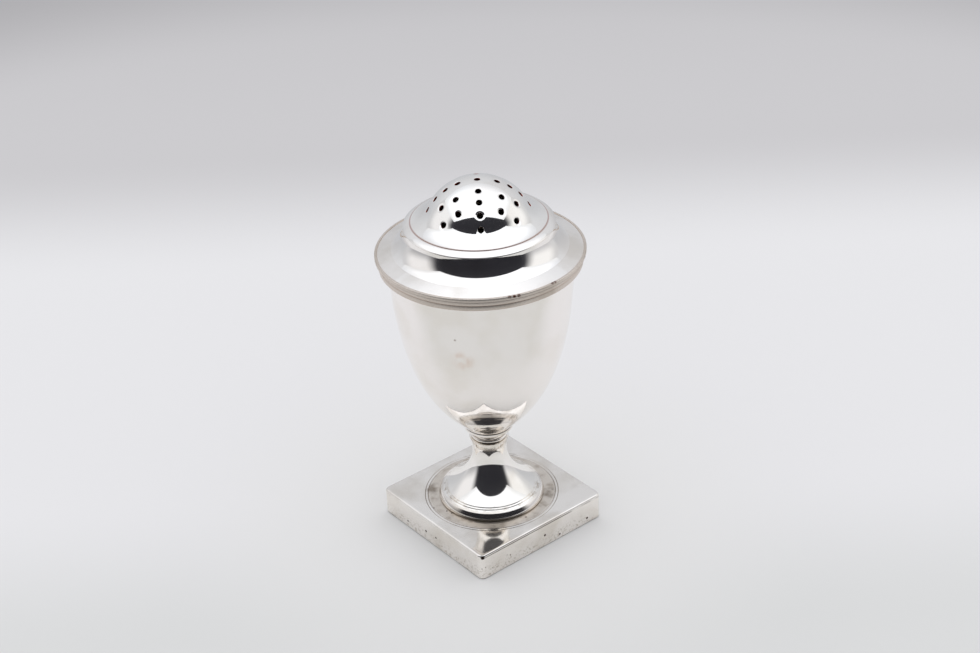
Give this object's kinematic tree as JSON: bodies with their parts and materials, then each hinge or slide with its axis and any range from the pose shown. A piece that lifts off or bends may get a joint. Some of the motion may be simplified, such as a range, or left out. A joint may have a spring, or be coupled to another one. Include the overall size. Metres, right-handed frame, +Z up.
{
  "type": "pounce pot",
  "caption": "Small urn-shaped pot for shaking pounce on paper, with a bowl on a trumpet foot and square plinth, and a pierced domed cover that pulls off.",
  "frame": {"origin": "on the pot's axis, at the underside of the plinth", "axes": "+Z up along the axis; X and Y square to the plinth's sides"},
  "size_m": [0.0419, 0.0418, 0.0796],
  "materials": {
    "pitted_silver": "polished sterling silver, pitted and rubbed",
    "plinth_silver": "polished sterling silver with fine scratches",
    "tarnished_silver": "polished sterling silver, tarnished in the corner",
    "foot_silver": "polished sterling silver with turning lines",
    "bowl_silver": "softly polished sterling silver, faintly stained",
    "cover_silver": "polished sterling silver",
    "dome_silver": "polished sterling silver, drilled"
  },
  "bodies": {
    "pot": {"plinth_apron": "pitted_silver", "plinth_plate": "plinth_silver", "foot_ring": "tarnished_silver", "foot": "foot_silver", "stem_collar": "foot_silver", "bowl": "bowl_silver", "mouth_band": "bowl_silver"},
    "cover": {"cover_bezel": "cover_silver", "cover_brim": "cover_silver", "brim_wire": "cover_silver", "cover_shoulder": "cover_silver", "dome_bead": "cover_silver", "pierced_dome": "dome_silver"}
  },
  "joints": [
    {"name": "cover_lift", "type": "slide", "parent": "pot", "child": "cover", "axis": [0, 0, 1], "range_m": [0, 0.03]}
  ]
}
